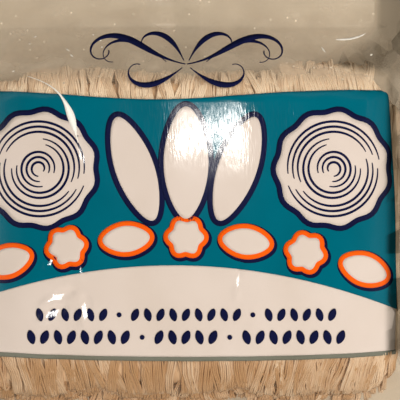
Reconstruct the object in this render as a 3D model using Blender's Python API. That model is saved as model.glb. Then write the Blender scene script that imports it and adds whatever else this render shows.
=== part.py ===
"""A clear film pillow bag that holds a folded block of dried rice vermicelli, lying on its back.

X runs across the bag, +Y towards its header and +Z up out of its printed front. The origin is on the
surface that the bag lies on, under the middle of its outline. The bag and its contents are one closed
solid, lofted along Y from cross-sections that change from a flat seal, through the full block, to the
other flat seal. The noodles lie against the foot, and the header is slack film that hugs their ends.
"""

import math

import bmesh
import bpy
import numpy as np

MM = 0.001

# Driving sizes, in metres.
BLOCK_HALF_WIDTH = 89.0 * MM  # half the bag's width where the noodle block fills it
FLAT_HALF_WIDTH = 104.0 * MM  # half the width of the film tube laid flat, as in the seals
BAG_HEIGHT = 46.0 * MM  # from the resting face to the top of the front
SIDE_HEIGHT = 21.0 * MM  # height of the bag's widest line along the block
SEAL_HEIGHT = 12.0 * MM  # height at which the film's two sides meet in the seals
FLANGE = 1.0 * MM  # thickness of the sealed film edge
BLOCK_CENTRE_Y = -3.0 * MM  # the block sits a little towards the foot, because the header is longer

SHOULDER = 50.0 * MM  # distance from the block's centre at which the front starts to fall
FOOT_SHOULDER = 56.0 * MM  # distance at which the back starts to rise off the surface
HEADER_SEAL = (92.0 * MM, 104.0 * MM)  # inner and outer edge of the header's seal, from the block's centre
FOOT_SEAL = (88.0 * MM, 98.0 * MM)  # the same for the seal at the foot
HEADER_FLAT = 84.0 * MM  # where the film is down flat: it hugs the noodles' ends, short of the header's seal
FOOT_FLAT = FOOT_SEAL[0]  # at the foot the noodles fill the bag down to its seal

FRONT_POWER = 5.0  # how square the front's corners are along the block
BACK_POWER = 9.0  # the back is squarer, because it lies flat
SEAM_POWER = 2.2  # towards a seal the section is a plain lens
BACK_FLAT = 1.02  # stretches the back's section, so that its middle is truly flat

LUMP = 0.9 * MM  # height of the swells that the hanks of noodles press into the film
LUMP_SHARES = (0.55, 0.30, 0.15)  # of the swells across the hanks, along them, and slanting over both
HANK_PITCH = 31.0 * MM  # width of one hank
HANK_PHASE = 0.9  # radians from the middle of a hank to the bag's middle line
HANK_LEAN = 9.0  # radians of the swells' phase for each metre along the block, so that they lean
LONG_SWELL = 58.0 * MM  # length of the slow swell along the block
CROSS_SWELL = 44.0 * MM  # length of the swell that crosses both
SIDE_SWELL = 0.6 * MM  # how far the bag's sides bulge and draw in
SIDE_SWELL_LENGTH = 47.0 * MM
PLEAT = 1.1 * MM  # depth of the film's pleats between block and seal
PLEAT_PITCH = 21.0 * MM
PLEAT_PHASE = 1.3  # radians that the pleats are shifted by, one way at each end
PLEAT_IN_MIDDLE = 0.3  # share of a pleat's depth that is left on the bag's middle line
RUFFLE = 1.3 * MM  # the seals' slow wave up and down
RUFFLE_LENGTH = 135.0 * MM
RUFFLE_PHASES = (0.6, 2.6)  # radians, at the foot and at the header
CRIMP = 0.22 * MM  # height of the ridges pressed into the seals
CRIMP_PITCH = 2.0 * MM

BODY_STEPS = 26  # stations along the block
SLOPE_STEPS = 9  # stations from a shoulder to the flat film
FLAT_STEP = 2.7 * MM  # between stations on the flat film short of a seal
HALF_POINTS = 38  # points across the front, and as many across the back
ARC_SAMPLES = 721  # samples that a section's length is measured with
SHARP_ANGLE = 40.0  # degrees between faces from which an edge is shaded sharp


def fall(q):
    """1 at q = 0, with no slope there, and 0 at q = 1: a rounded shoulder, then a nearly straight slope."""
    q = np.clip(q, 0.0, 1.0)
    return 1.0 - 2.0 * q**2 + q**3


def ease(q):
    """0 to 1 with no slope at either end."""
    q = np.clip(q, 0.0, 1.0)
    return q * q * (3.0 - 2.0 * q)


def seal_of(v):
    """The inner edge of the seal on the same side as v, a distance along Y from the block's centre."""
    return HEADER_SEAL[0] if v >= 0 else FOOT_SEAL[0]


def slope_share(v, start):
    """How far v is on the way from start, a distance from the block's centre, to the flat film: 0 to 1."""
    flat = HEADER_FLAT if v >= 0 else FOOT_FLAT
    return float(np.clip((abs(v) - start) / (flat - start), 0.0, 1.0))


def half_width(v):
    """Half the bag's width at v: straight along the block, flaring to the width of the flat film."""
    share = slope_share(v, SHOULDER)
    swell = SIDE_SWELL * math.sin(math.tau * v / SIDE_SWELL_LENGTH) * fall(share)
    return BLOCK_HALF_WIDTH + swell + (FLAT_HALF_WIDTH - BLOCK_HALF_WIDTH) * ease(share)


def profile(x, half, power):
    """A superellipse's height at x as a share of its greatest: 1 in the middle and 0 at the side."""
    return (1.0 - np.clip(np.abs(x / half), 0.0, 1.0) ** power) ** (1.0 / power)


def spread(half, power, height, count):
    """X positions from +half to -half that are evenly spaced along a superellipse of that height."""
    angle = np.linspace(0.0, math.pi, ARC_SAMPLES)
    x = half * np.sign(np.cos(angle)) * np.abs(np.cos(angle)) ** (2.0 / power)
    z = height * np.abs(np.sin(angle)) ** (2.0 / power)
    walked = np.concatenate([[0.0], np.cumsum(np.hypot(np.diff(x), np.diff(z)))])
    return np.interp(np.linspace(0.0, walked[-1], count), walked, x)


def side_line(v):
    """Height of the widest line: half-way up the block, falling to the height of the seal."""
    return SEAL_HEIGHT + (SIDE_HEIGHT - SEAL_HEIGHT) * (1.0 - ease(slope_share(v, SHOULDER)))


def lumps(x, v):
    """The hanks' swells in the front: one across each hank, and slower ones along the block."""
    across = LUMP_SHARES[0] * np.cos(math.tau * x / HANK_PITCH + HANK_PHASE + HANK_LEAN * v)
    along = LUMP_SHARES[1] * np.sin(math.tau * v / LONG_SWELL + 2.0 * HANK_LEAN * x)
    slanting = LUMP_SHARES[2] * np.sin(math.tau * (x - v) / CROSS_SWELL)
    return LUMP * (across + along + slanting - 1.0)


def pleats(x, v):
    """Pleats that run out from the block to the seals, deepest half-way and towards the corners."""
    share = slope_share(v, SHOULDER)
    outward = PLEAT_IN_MIDDLE + (1.0 - PLEAT_IN_MIDDLE) * (x / FLAT_HALF_WIDTH) ** 2
    depth = 4.0 * share * (1.0 - share) * outward
    return PLEAT * depth * np.cos(math.tau * x / PLEAT_PITCH + math.copysign(PLEAT_PHASE, v))


def ruffle(x, v):
    """The seals' slow wave up and down, which dies out towards the block."""
    phase = RUFFLE_PHASES[1] if v > 0 else RUFFLE_PHASES[0]
    return RUFFLE * ease(slope_share(v, SHOULDER)) * np.sin(math.tau * x / RUFFLE_LENGTH + phase)


def crimp(v):
    """Ridges across a seal: its stations are half a ridge apart, so they step down and up in turn."""
    beyond = abs(v) - seal_of(v)
    return CRIMP * math.cos(math.tau * beyond / CRIMP_PITCH) if beyond > 0 else 0.0


def front_height(x, v):
    """Height of the bag's front over x at v."""
    share = slope_share(v, SHOULDER)
    rim = side_line(v) + FLANGE / 2.0
    crest = SEAL_HEIGHT + FLANGE / 2.0 + (BAG_HEIGHT - SEAL_HEIGHT - FLANGE / 2.0) * fall(share)
    section = profile(x, half_width(v), FRONT_POWER + (SEAM_POWER - FRONT_POWER) * share)
    relief = lumps(x, v) * fall(share) + pleats(x, v)
    return rim + (crest - rim + relief) * section + ruffle(x, v) + crimp(v)


def back_height(x, v):
    """Height of the bag's back over x at v: flat on the surface under the block, then rising to the seal."""
    share = slope_share(v, FOOT_SHOULDER)
    rim = side_line(v) - FLANGE / 2.0
    trough = (SEAL_HEIGHT - FLANGE / 2.0) * (1.0 - fall(share))
    power = BACK_POWER + (SEAM_POWER - BACK_POWER) * share
    section = np.minimum(1.0, BACK_FLAT * profile(x, half_width(v), power))
    return rim + (trough - rim) * section + ruffle(x, v) * ease(share) + crimp(v)


def stations():
    """Distances along Y from the block's centre at which the bag is cut into sections, foot to header."""

    def side(flat, seal):
        """Stations down the slope to the flat film, on to the seal, and then over the seal's ridges."""
        slope = SHOULDER + (flat - SHOULDER) * np.linspace(0.0, 1.0, SLOPE_STEPS + 1)[1:]
        level = np.linspace(flat, seal[0], round((seal[0] - flat) / FLAT_STEP) + 1)[1:]
        ridges = np.arange(seal[0], seal[1] - CRIMP_PITCH / 4.0, CRIMP_PITCH / 2.0)[1:]
        return np.concatenate([slope, level, ridges, [seal[1]]])

    body = np.linspace(-SHOULDER, SHOULDER, BODY_STEPS + 1)
    return np.concatenate([-side(FOOT_FLAT, FOOT_SEAL)[::-1], body, side(HEADER_FLAT, HEADER_SEAL)])


def section_ring(v):
    """One section's points: across the front from +X to -X, then back across the underside to +X."""
    half = half_width(v)
    share = slope_share(v, SHOULDER)
    front_power = FRONT_POWER + (SEAM_POWER - FRONT_POWER) * share
    back_power = BACK_POWER + (SEAM_POWER - BACK_POWER) * share
    front_x = spread(half, front_power, (BAG_HEIGHT - SIDE_HEIGHT) * fall(share), HALF_POINTS)
    back_x = spread(half, back_power, SIDE_HEIGHT * fall(share), HALF_POINTS)[::-1]
    x = np.concatenate([front_x, back_x])
    z = np.concatenate([front_height(front_x, v), back_height(back_x, v)])
    return [(px, BLOCK_CENTRE_Y + v, pz) for px, pz in zip(x, z)]


def loft(name, rings):
    """A closed mesh through equal rings: quads from each to the next, and a ladder of quads over each end."""
    model = bmesh.new()
    rows = [[model.verts.new(point) for point in ring] for ring in rings]
    count = len(rows[0])
    for low, high in zip(rows, rows[1:]):
        for i in range(count):
            j = (i + 1) % count
            model.faces.new((low[i], low[j], high[j], high[i]))
    for row in (rows[0], rows[-1]):
        for i in range(count // 2 - 1):
            model.faces.new((row[i], row[i + 1], row[count - 2 - i], row[count - 1 - i]))
    bmesh.ops.recalc_face_normals(model, faces=model.faces)
    mesh = bpy.data.meshes.new(name)
    model.to_mesh(mesh)
    model.free()
    mesh.shade_smooth()
    mesh.set_sharp_from_angle(angle=math.radians(SHARP_ANGLE))
    return mesh


def film_material():
    """Glossy clear film over cream noodles, which one solid can only show as a pale cream plastic."""
    material = bpy.data.materials.new("clear_film_over_noodles")
    material.use_nodes = True
    shader = material.node_tree.nodes["Principled BSDF"]
    shader.inputs["Base Color"].default_value = (0.80, 0.64, 0.46, 1.0)
    shader.inputs["Roughness"].default_value = 0.15
    shader.inputs["Metallic"].default_value = 0.0
    return material


def main():
    """Builds the bag in its own collection."""
    for item in list(bpy.data.objects):
        bpy.data.objects.remove(item)
    collection = bpy.data.collections.new("vermicelli_bag")
    bpy.context.scene.collection.children.link(collection)
    mesh = loft("vermicelli_bag", [section_ring(v) for v in stations()])
    bag = bpy.data.objects.new("vermicelli_bag", mesh)
    bag.data.materials.append(film_material())
    collection.objects.link(bag)


main()
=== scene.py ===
"""Looks for a clear pillow bag of dried rice vermicelli: film, print, strands, and a plain studio.

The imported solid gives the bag's outline. Its place is taken by a thin glossy film, by fields and shapes of
ink that lie just under the film, and by real strands over a smaller core. Lengths are in metres. x runs
across the bag, v along it from the middle of the noodle block towards the header, and z up.
"""

import logging
import math
from dataclasses import dataclass, field
from enum import Enum

import bpy
import numpy as np
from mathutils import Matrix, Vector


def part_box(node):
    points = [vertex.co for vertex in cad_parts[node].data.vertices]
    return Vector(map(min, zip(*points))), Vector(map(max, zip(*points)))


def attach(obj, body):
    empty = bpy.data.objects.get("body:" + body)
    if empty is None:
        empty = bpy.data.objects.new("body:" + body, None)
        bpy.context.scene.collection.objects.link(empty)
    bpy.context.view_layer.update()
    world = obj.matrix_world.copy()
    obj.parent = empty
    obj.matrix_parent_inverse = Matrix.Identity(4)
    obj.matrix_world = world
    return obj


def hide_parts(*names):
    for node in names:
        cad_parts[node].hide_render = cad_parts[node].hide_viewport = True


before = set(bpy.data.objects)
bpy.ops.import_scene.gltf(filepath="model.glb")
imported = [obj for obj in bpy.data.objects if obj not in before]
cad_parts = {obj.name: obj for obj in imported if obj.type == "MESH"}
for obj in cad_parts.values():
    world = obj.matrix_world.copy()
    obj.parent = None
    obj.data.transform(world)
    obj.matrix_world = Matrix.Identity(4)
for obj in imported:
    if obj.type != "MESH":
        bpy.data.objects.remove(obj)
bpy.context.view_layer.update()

Array = np.ndarray

MM = 0.001
NODE = "vermicelli_bag"
BODY = "root"
LOG = logging.getLogger("vermicelli")


# ---------------------------------------------------------------- plain functions


def ease(q: Array) -> Array:
    """Returns 0 to 1 with no slope at either end: q squared times (3 - 2q), q held between 0 and 1."""
    q = np.clip(q, 0.0, 1.0)
    return q * q * (3.0 - 2.0 * q)


def fall(q: Array) -> Array:
    """Returns 1 at q = 0 with no slope there, and 0 at q = 1: 1 - 2 q squared + q cubed."""
    q = np.clip(q, 0.0, 1.0)
    return 1.0 - 2.0 * q**2 + q**3


def hill(x: Array, centre: float, width: float) -> Array:
    """Returns a bell curve of height 1 round centre: e to the power of -(distance over width) squared."""
    return np.exp(-(((x - centre) / width) ** 2))


def sawtooth(t: Array) -> Array:
    """Returns a triangle wave between -1 and 1 that repeats when t grows by 1."""
    return 4.0 * np.abs(t - np.floor(t + 0.5)) - 1.0


def profile(x: Array, half: Array, power: Array) -> Array:
    """Returns a superellipse's height at x as a share of its greatest: 1 in the middle, 0 at the side."""
    return (1.0 - np.clip(np.abs(x / half), 0.0, 1.0) ** power) ** (1.0 / power)


def arc_shares(power: float, flatness: float, count: int) -> Array:
    """Spaces points evenly along a superellipse.

    Args:
        power: the superellipse's exponent.
        flatness: its height over its half width.
        count: how many points.

    Returns:
        The points' x as shares of the half width, from 1 down to -1.
    """
    angle = np.linspace(0.0, math.pi, 2001)
    x = np.sign(np.cos(angle)) * np.abs(np.cos(angle)) ** (2.0 / power)
    z = flatness * np.abs(np.sin(angle)) ** (2.0 / power)
    walked = np.concatenate([[0.0], np.cumsum(np.hypot(np.diff(x), np.diff(z)))])
    return np.interp(np.linspace(0.0, walked[-1], count), walked, x)


# ---------------------------------------------------------------- meshes


def grid_faces(rows: int, columns: int, wrap: bool = False) -> Array:
    """Joins a grid of points, numbered row by row, with quads.

    Args:
        rows: how many rows.
        columns: how many points in a row.
        wrap: whether the last column joins the first.

    Returns:
        The quads' point numbers, four to a row.
    """
    row = np.arange(rows - 1)[:, None]
    column = np.arange(columns if wrap else columns - 1)[None, :]
    after = (column + 1) % columns
    low, high = row * columns, (row + 1) * columns
    return np.stack([low + column, low + after, high + after, high + column], axis=-1).reshape(-1, 4)


def enclosed(points: Array, faces: list[Array]) -> float:
    """Returns the volume inside closed faces, negative if they point inwards: a sum of tetrahedra."""
    points = points - points.mean(axis=0)
    total = 0.0
    for group in faces:
        first = points[group[:, 0]]
        for k in range(1, group.shape[1] - 1):
            total += np.einsum("ij,ij->", first, np.cross(points[group[:, k]], points[group[:, k + 1]]))
    return total / 6.0


@dataclass
class Weave:
    """Points and faces gathered from several closed shapes into one mesh, with one number at each point."""

    points: list[Array] = field(default_factory=list)
    faces: list[Array] = field(default_factory=list)
    shades: list[Array] = field(default_factory=list)
    count: int = 0

    def add(self, points: Array, faces: list[Array], shade: Array | float = 0.5) -> None:
        """Adds one closed shape, turned so that its faces point outwards.

        Args:
            points: its points, one to a row.
            faces: arrays of point numbers, each array with faces of one kind.
            shade: the number at each point, or one for all.
        """
        if enclosed(points, faces) < 0.0:
            faces = [group[:, ::-1] for group in faces]
        self.points.append(points)
        self.faces.extend(group + self.count for group in faces)
        self.shades.append(np.broadcast_to(np.asarray(shade, float), (len(points),)))
        self.count += len(points)

    def build(self, name: str, material: bpy.types.Material, slot: str) -> bpy.types.Object:
        """Makes the mesh, rides it on the bag and reports it.

        Args:
            name: the piece's name.
            material: its finish.
            slot: the record's material slot; not used.

        Returns:
            The new object, smooth shaded, at the origin.
        """
        points = np.concatenate(self.points).astype(np.float32)
        sizes = np.concatenate([np.full(len(group), group.shape[1]) for group in self.faces])
        mesh = bpy.data.meshes.new(name)
        mesh.vertices.add(len(points))
        mesh.vertices.foreach_set("co", points.ravel())
        mesh.loops.add(int(sizes.sum()))
        mesh.loops.foreach_set("vertex_index", np.concatenate([g.ravel() for g in self.faces]).astype(np.int32))
        mesh.polygons.add(len(sizes))
        mesh.polygons.foreach_set("loop_start", np.concatenate([[0], np.cumsum(sizes)[:-1]]).astype(np.int32))
        mesh.update(calc_edges=True)
        mesh.attributes.new("shade", "FLOAT", "POINT")
        mesh.attributes["shade"].data.foreach_set("value", np.concatenate(self.shades).astype(np.float32))
        mesh.shade_smooth()
        mesh.materials.append(material)
        piece = bpy.data.objects.new(name, mesh)
        bpy.context.scene.collection.objects.link(piece)
        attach(piece, BODY)
        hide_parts(NODE)
        LOG.info("%s: %d points, %d triangles", name, len(points), int((sizes - 2).sum()))
        return piece


# ---------------------------------------------------------------- the bag's surface


@dataclass(frozen=True)
class BagShape:
    """The filled bag's surface, as heights over x and v.

    The front is a superellipse across the bag. Past the block it falls to the flat seals while the sides
    flare out to the width of the flat film. The back lies flat under the block and rises to the seals.
    """

    flat_half_width: float
    height: float
    header_end: float
    foot_end: float
    centre_y: float = -3.0 * MM
    block_half_width: float = 89.0 * MM
    side_height: float = 21.0 * MM
    seal_height: float = 12.0 * MM
    film_gap: float = 0.16 * MM
    shoulder: float = 50.0 * MM
    foot_shoulder: float = 56.0 * MM
    seal_widths: tuple[float, float] = (12.0 * MM, 10.0 * MM)
    header_slack: float = 8.0 * MM
    front_power: float = 5.0
    back_power: float = 9.0
    seam_power: float = 2.2
    back_flat: float = 1.02
    lump: float = 0.13 * MM
    lump_sink: float = 0.5 * MM
    hank_pitch: float = 31.0 * MM
    side_swell: float = 0.6 * MM
    side_swell_length: float = 47.0 * MM
    pleat: float = 1.1 * MM
    pleat_pitch: float = 21.0 * MM
    ruffle: float = 1.3 * MM
    ruffle_length: float = 135.0 * MM
    crimp: float = 0.22 * MM
    crimp_pitch: float = 2.0 * MM
    crumple: float = 0.8 * MM
    fold_slope: float = -0.10
    fold_width: float = 2.0 * MM
    fold_narrow: float = 0.8 * MM
    eye: tuple[float, float, float] = (5.6 * MM, 7.0 * MM, 546.0 * MM)
    lamp: tuple[float, float, float] = (0.020, 0.100, 1.25)
    streak_middle: float = 43.0 * MM
    streak_length: float = 8.0 * MM
    streak_width: tuple[float, float] = (1.3 * MM, 2.7 * MM)
    facets: tuple[tuple[float, float, float, float, float], ...] = (
        (-52.0, -29.2, 8.0, 2.6, 0.45),
        (-53.6, -35.6, 6.5, 3.0, 0.50),
        (-40.6, -34.6, 7.0, 2.6, 1.52),
        (-42.0, -18.4, 4.0, 2.0, 1.57),
        (-54.4, -15.0, 3.6, 1.9, 0.80),
        (20.8, -22.4, 8.0, 1.7, 1.45),
        (24.0, -35.2, 2.4, 1.7, 0.80),
    )
    lap_width: float = 11.0 * MM
    lap_room: float = 0.25 * MM

    @property
    def header_seal(self) -> float:
        """Returns v where the header's seal begins."""
        return self.header_end - self.seal_widths[0]

    @property
    def foot_seal(self) -> float:
        """Returns the distance from the block's middle at which the foot's seal begins."""
        return self.foot_end - self.seal_widths[1]

    def share(self, v: Array, start: float) -> Array:
        """Returns how far v is on the way from start to the flat film on its side: 0 to 1."""
        flat = np.where(v >= 0.0, self.header_seal - self.header_slack, self.foot_seal)
        return np.clip((np.abs(v) - start) / (flat - start), 0.0, 1.0)

    def half_width(self, v: Array) -> Array:
        """Returns half the width at v: straight with a slight swell, then eased out to the flat film."""
        share = self.share(v, self.shoulder)
        swell = self.side_swell * np.sin(math.tau * v / self.side_swell_length) * fall(share)
        return self.block_half_width + swell + (self.flat_half_width - self.block_half_width) * ease(share)

    def side_line(self, v: Array) -> Array:
        """Returns the height of the widest line, which eases down to the height of the seals."""
        share = self.share(v, self.shoulder)
        return self.seal_height + (self.side_height - self.seal_height) * (1.0 - ease(share))

    def waves(self, x: Array, v: Array) -> Array:
        """Returns what both sides share past the block: a slow ruffle, and cosine ridges in the seals."""
        ruffle = self.ruffle * np.sin(math.tau * x / self.ruffle_length + 0.6 + 2.0 * (v > 0.0))
        beyond = np.abs(v) - np.where(v >= 0.0, self.header_seal, self.foot_seal)
        inside = ease(beyond / MM) * ease((self.seal_widths[1] - beyond) / MM)
        crimp = self.crimp * inside * np.cos(math.tau * beyond / self.crimp_pitch)
        return ruffle, crimp

    def lumps(self, x: Array, v: Array) -> Array:
        """Returns the soft swells over the hanks of noodles: three crossing cosines, sunk below zero."""
        across = 0.55 * np.cos(math.tau * x / self.hank_pitch + 0.9 + 9.0 * v)
        along = 0.3 * np.sin(math.tau * v / (58.0 * MM) + 18.0 * x)
        slanting = 0.15 * np.sin(math.tau * (x - v) / (44.0 * MM))
        return self.lump * (across + along + slanting) - self.lump_sink

    def pleats(self, x: Array, v: Array) -> Array:
        """Returns the pleats between block and seal, deepest half-way and towards the corners."""
        share = self.share(v, self.shoulder)
        outward = 0.3 + 0.7 * (x / self.flat_half_width) ** 2
        wave = np.cos(math.tau * x / self.pleat_pitch + 1.3 * np.sign(v))
        return self.pleat * 4.0 * share * (1.0 - share) * outward * wave

    def crumples(self, x: Array, v: Array) -> Array:
        """Returns the flat facets of slack film at the corners: crossing triangle waves, faded inwards."""
        corner = ease((np.abs(x) - 40.0 * MM) / (35.0 * MM)) * ease((np.abs(v) - 50.0 * MM) / (16.0 * MM))
        facets = (
            sawtooth(x / (17.0 * MM) + v / (23.0 * MM) + 0.2)
            + 0.8 * sawtooth(x / (29.0 * MM) - v / (13.0 * MM) + 0.55)
            + 0.5 * sawtooth(x / (9.0 * MM) - v / (31.0 * MM) + 0.1)
        )
        seal = 1.0 - self.share(v, self.shoulder) ** 4
        slack = 1.0 + 1.6 * ease((x - 50.0 * MM) / (25.0 * MM)) * (v > 0.0)
        return self.crumple * slack * corner * seal * facets

    def fold_line(self, v: Array) -> Array:
        """Returns the x of the film's one sharp fold: nearly straight, then bent away near the header."""
        return -42.5 * MM - 0.224 * (v - 30.0 * MM) - 14.6 * MM * np.exp(-(60.0 * MM - v) / (5.0 * MM))

    def folds(self, x: Array, v: Array) -> Array:
        """Returns the film's single folds: a curved step left of the header, a crease, and faint waves.

        The step is a hyperbolic tangent across the fold, faded by a bell curve so that the film levels out
        again on either side.
        """
        off = x - self.fold_line(v)
        along = ease((v - 12.0 * MM) / (18.0 * MM)) * ease((68.0 * MM - v) / (6.0 * MM))
        width = self.fold_width + (self.fold_narrow - self.fold_width) * ease((v - 46.0 * MM) / (8.0 * MM))
        total = self.fold_slope * along * width * np.tanh(off / width) * hill(off, 0.0, 14.0 * MM)
        crease = x - 74.0 * MM - 0.1 * (v - 48.0 * MM)
        total = total - 0.25 * MM * np.tanh(crease / (0.5 * MM)) * hill(crease, 0.0, 5.0 * MM) * hill(v, 49.0 * MM, 5.0 * MM)
        near = hill(x, 63.0 * MM, 9.0 * MM) * hill(v, 9.0 * MM, 16.0 * MM)
        return total + 0.05 * MM * near * np.sin(math.tau * (x + 0.4 * v) / (11.0 * MM))

    def mirroring(self, x: Array, v: Array) -> Array:
        """Returns the height of a surface that mirrors the lamp into the eye from everywhere on it.

        Its slope at each place is minus the sum of the slants to the lamp and to the eye, halved, which
        makes it a bowl: the sum over both of (squared distance sideways) over 4 times the height above.
        """
        y = v + self.centre_y
        height = 0.0 * x
        for place in (self.eye, self.lamp):
            height = height + ((x - place[0]) ** 2 + (y - place[1]) ** 2) / (4.0 * (place[2] - self.height))
        return height

    def faceted(self, z: Array, x: Array, v: Array) -> Array:
        """Bends the film into small facets, and one long one along the fold, that mirror the lamp.

        Each is faded by a bell with a flat top: e to the power of -(distance over size) to the eighth.

        Args:
            z: the plain front's heights.
            x: places across the bag.
            v: places along it.

        Returns:
            The new heights.
        """
        middle_v = np.array(self.streak_middle)
        narrow, wide = self.streak_width
        upward = (v - middle_v) / self.streak_length
        half = narrow + (wide - narrow) * hill(upward, 0.25, 0.45)
        shapes = [(self.fold_line(middle_v), middle_v, upward, (x - self.fold_line(v)) / half)]
        for place_x, place_v, long, wide, turn in self.facets:
            middle_x, middle_v = np.array(place_x * MM), np.array(place_v * MM)
            across, up = x - middle_x, v - middle_v
            a = (across * math.cos(turn) + up * math.sin(turn)) / (long * MM)
            b = (up * math.cos(turn) - across * math.sin(turn)) / (wide * MM)
            shapes.append((middle_x, middle_v, a, b))
        for middle_x, middle_v, a, b in shapes:
            level = self.plain_front(middle_x, middle_v) - self.mirroring(middle_x, middle_v)
            z = z + np.exp(-((a * a + b * b) ** 4)) * (self.mirroring(x, v) + level - z)
        return z

    def haze(self, x: Array, v: Array) -> Array:
        """Returns the film's haze where positive, and where negative the painted shade on the slack, crumpled film.

        There is none over the print, some past the block, and more on the noodles' tips. The painted shade lies
        beyond a slanting line at the header's right, and in a strip down the right side.
        """
        veil = 0.24 * ease((v - 54.5 * MM) / (8.0 * MM)) + 0.10 * hill(v, 65.0 * MM, 5.0 * MM)
        slanting = 46.0 * MM + 1.5 * (v - 66.0 * MM)
        steep = np.minimum(46.0 * MM + 4.2 * (66.0 * MM - v), 74.0 * MM)
        level = np.where(v > 66.0 * MM, slanting, steep)
        # painted shade: darker film beyond the slanting line, and in a strip down the right side where less light falls
        slack = ease((x - np.minimum(level, 84.0 * MM)) / (26.0 * MM)) * ease((v + 50.0 * MM) / (90.0 * MM))
        slack = np.maximum(slack, 0.95 * ease((x - 79.5 * MM) / (4.0 * MM)) * ease((v + 56.0 * MM) / (6.0 * MM)))
        return np.where(slack > 0.02, veil * (1.0 - slack) - slack, veil)

    def plain_front(self, x: Array, v: Array) -> Array:
        """Returns the front's height: rim plus (crest - rim + relief) times the superellipse, plus waves."""
        share = self.share(v, self.shoulder)
        gap = self.film_gap
        rim = self.side_line(v) + gap
        crest = self.seal_height + gap + (self.height - self.seal_height - gap) * fall(share)
        section = profile(x, self.half_width(v), self.front_power + (self.seam_power - self.front_power) * share)
        relief = self.lumps(x, v) * fall(share) + self.pleats(x, v) + self.crumples(x, v) + self.folds(x, v)
        ruffle, crimp = self.waves(x, v)
        return rim + (crest - rim + relief) * section + ruffle * ease(share) + crimp

    def front(self, x: Array, v: Array) -> Array:
        """Returns the front's height with its small facets."""
        return self.faceted(self.plain_front(x, v), x, v)

    def back(self, x: Array, v: Array) -> Array:
        """Returns the back's height: flat on the ground under the block, then rising to the seals."""
        share = self.share(v, self.foot_shoulder)
        gap = self.film_gap
        rim = self.side_line(v) - gap
        trough = (self.seal_height - gap) * (1.0 - fall(share))
        power = self.back_power + (self.seam_power - self.back_power) * share
        section = np.minimum(1.0, self.back_flat * profile(x, self.half_width(v), power))
        ruffle, crimp = self.waves(x, v)
        side = ease(self.share(v, self.shoulder))
        slack = 0.5 * self.crumples(x + 11.0 * MM, v) * section
        room = self.lap_room * ease((self.lap_width / 2.0 + 1.5 * MM - np.abs(x)) / MM)
        height = rim + (trough - rim) * section + ruffle * side * ease(share) + slack * ease(share) + crimp
        return np.maximum(height, 0.0) + room * (1.0 - self.share(v, self.foot_shoulder) ** 6)

    def lay(self, x: Array, v: Array, depth: float) -> Array:
        """Puts flat places under the front film.

        Args:
            x: distances across the bag.
            v: distances along it, in an array of the same shape.
            depth: how far under the film, along its normal.

        Returns:
            The points, with the three coordinates on a new last axis.
        """
        step = 0.1 * MM
        z = self.front(x, v)
        slope_x = (self.front(x + step, v) - self.front(x - step, v)) / (2.0 * step)
        slope_v = (self.front(x, v + step) - self.front(x, v - step)) / (2.0 * step)
        normal = np.stack([-slope_x, -slope_v, np.ones_like(z)], axis=-1)
        normal /= np.linalg.norm(normal, axis=-1, keepdims=True)
        return np.stack([x, v + self.centre_y, z], axis=-1) - depth * normal


# ---------------------------------------------------------------- finishes


@dataclass
class Recipe:
    """A material's node tree while it is put together."""

    name: str

    def __post_init__(self) -> None:
        """Makes the empty material."""
        self.material = bpy.data.materials.new(self.name)
        self.material.use_nodes = True
        self.tree = self.material.node_tree
        self.tree.nodes.clear()

    def add(self, kind: str, sockets: dict | None = None, **settings: object) -> bpy.types.Node:
        """Adds a node.

        Args:
            kind: the node's type, without "ShaderNode".
            sockets: for each input, by name or number, a value or an output that feeds it.
            settings: properties of the node.

        Returns:
            The new node.
        """
        node = self.tree.nodes.new("ShaderNode" + kind)
        for key, value in settings.items():
            setattr(node, key, value)
        for key, value in (sockets or {}).items():
            if isinstance(value, bpy.types.NodeSocket):
                self.tree.links.new(value, node.inputs[key])
            else:
                node.inputs[key].default_value = value
        return node

    def places(self, scale: tuple[float, float, float]) -> bpy.types.NodeSocket:
        """Returns Object coordinates, multiplied by scale on each axis."""
        coordinates = self.add("TexCoord").outputs["Object"]
        return self.add("Mapping", {"Vector": coordinates, "Scale": scale}).outputs["Vector"]

    def noise(self, scale: tuple[float, float, float], detail: float = 2.0) -> bpy.types.NodeSocket:
        """Returns noise between 0 and 1 whose grain on each axis is 1 / scale."""
        places = self.places(scale)
        return self.add("TexNoise", {"Vector": places, "Scale": 1.0, "Detail": detail}).outputs["Fac"]

    def spread(self, value: bpy.types.NodeSocket, low: float, high: float, to: tuple[float, float]) -> bpy.types.NodeSocket:
        """Returns value mapped from low..high to the two numbers in to, and held between them."""
        sockets = {"Value": value, "From Min": low, "From Max": high, "To Min": to[0], "To Max": to[1]}
        return self.add("MapRange", sockets).outputs["Result"]

    def blend(self, share: bpy.types.NodeSocket, a: tuple, b: tuple) -> bpy.types.NodeSocket:
        """Returns a colour between a, where share is 0, and b, where it is 1."""
        node = self.add("Mix", {"Factor": share}, data_type="RGBA")
        node.inputs["A"].default_value = a
        node.inputs["B"].default_value = b
        return node.outputs["Result"]

    def finish(self, surface: bpy.types.NodeSocket) -> bpy.types.Material:
        """Links the surface to the output and returns the material."""
        self.add("OutputMaterial", {"Surface": surface})
        return self.material


def colour(red: float, green: float, blue: float) -> tuple[float, float, float, float]:
    """Returns a shader colour from display values between 0 and 255: the usual display curve undone."""
    shares = [c / 255.0 for c in (red, green, blue)]
    linear = [s / 12.92 if s <= 0.04045 else ((s + 0.055) / 1.055) ** 2.4 for s in shares]
    return (linear[0], linear[1], linear[2], 1.0)


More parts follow.
